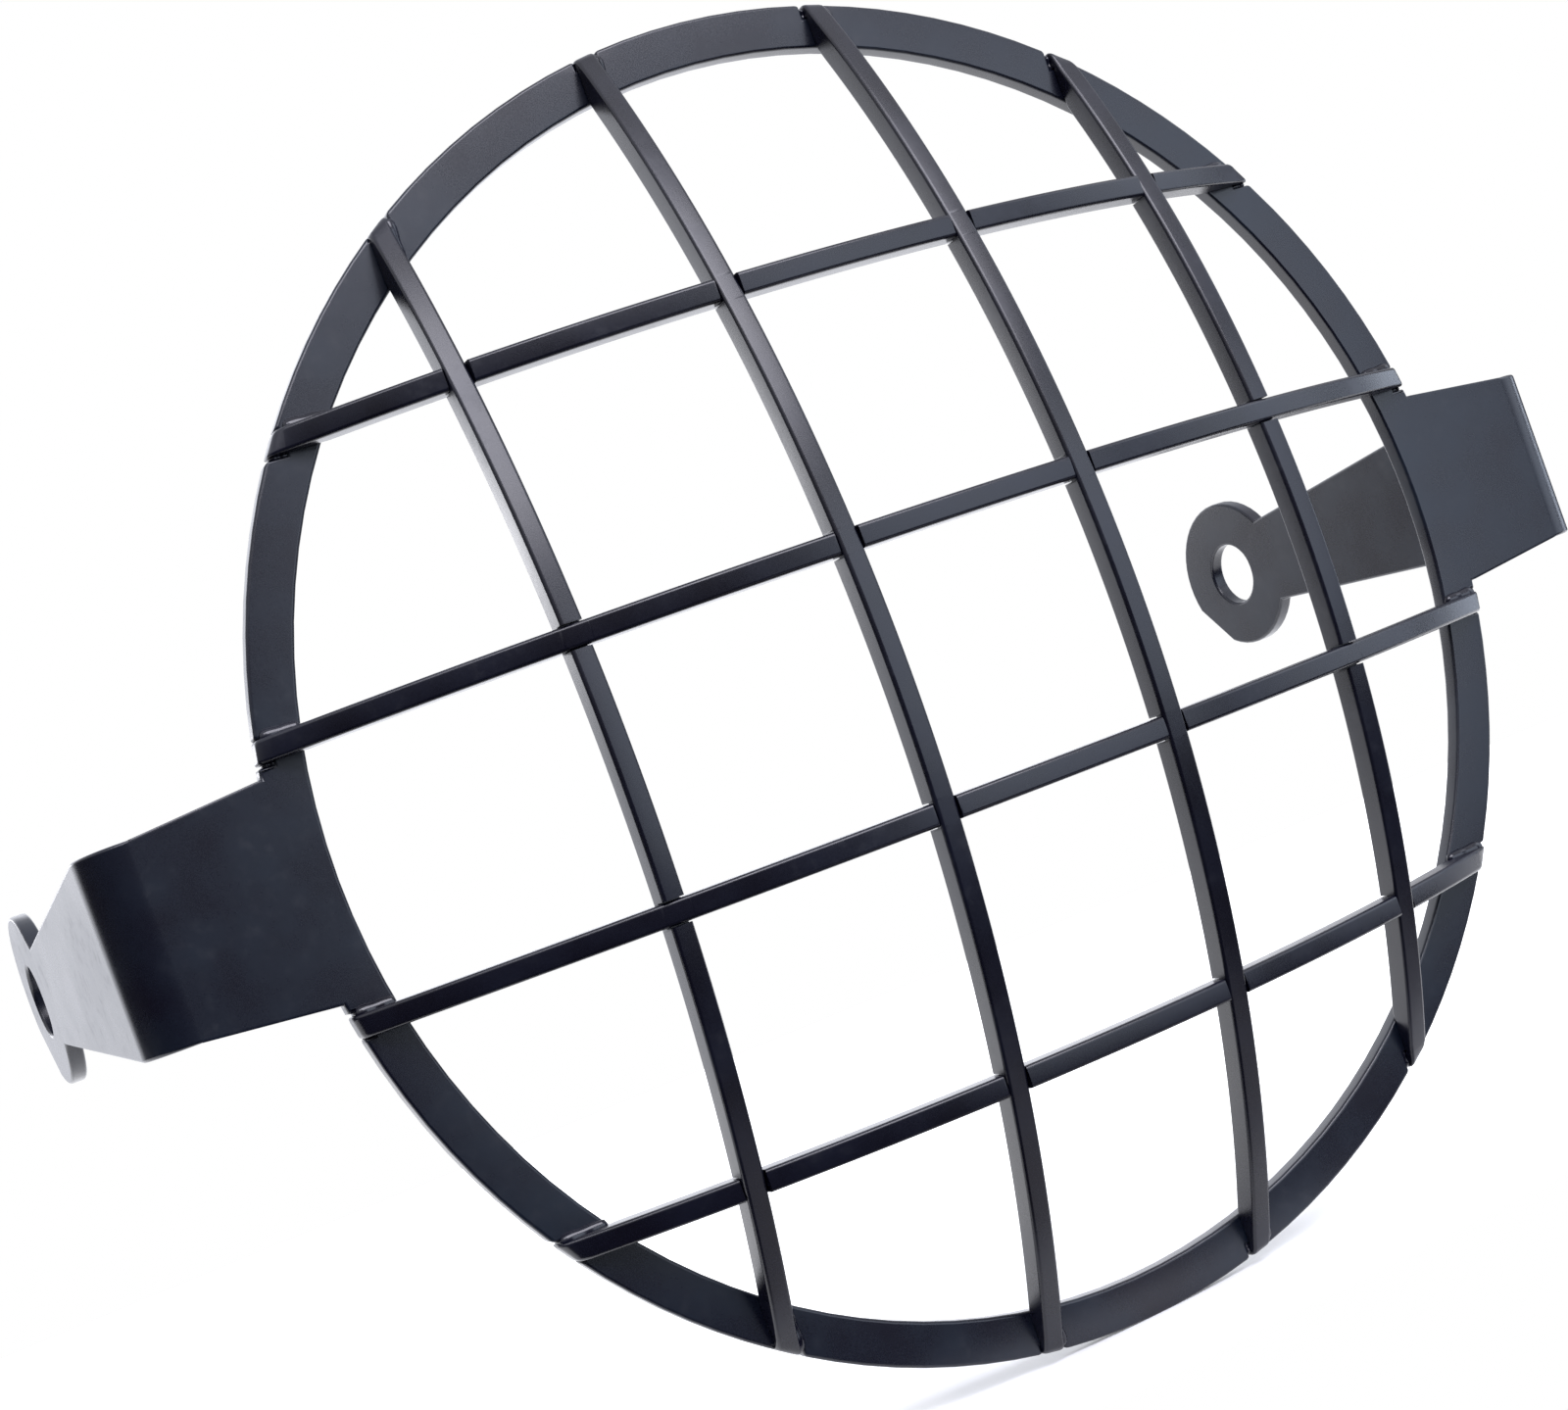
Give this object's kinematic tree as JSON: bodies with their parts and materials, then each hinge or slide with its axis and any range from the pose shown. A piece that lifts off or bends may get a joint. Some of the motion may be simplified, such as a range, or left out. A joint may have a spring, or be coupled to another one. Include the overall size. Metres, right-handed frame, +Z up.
{
  "type": "headlight grille",
  "caption": "Domed grid of steel bars on a flat ring, guarding a round headlamp, with side arms bent back to eyelets for the lamp's side bolts.",
  "frame": {"origin": "middle of the line through the two arm holes, the axis of the lamp's side bolts", "axes": "+X across the lamp along the side bolts, +Z up, the dome of bars faces -Y and the arms run back along +Y"},
  "size_m": [0.2306, 0.1194, 0.185],
  "materials": {
    "black_paint": "satin black powder coat on steel"
  },
  "bodies": {
    "root": {"ring_plate": "black_paint", "upright_1": "black_paint", "upright_2": "black_paint", "upright_3": "black_paint", "upright_4": "black_paint", "cross_bar_1": "black_paint", "cross_bar_2": "black_paint", "cross_bar_3": "black_paint", "cross_bar_4": "black_paint"}
  },
  "joints": []
}
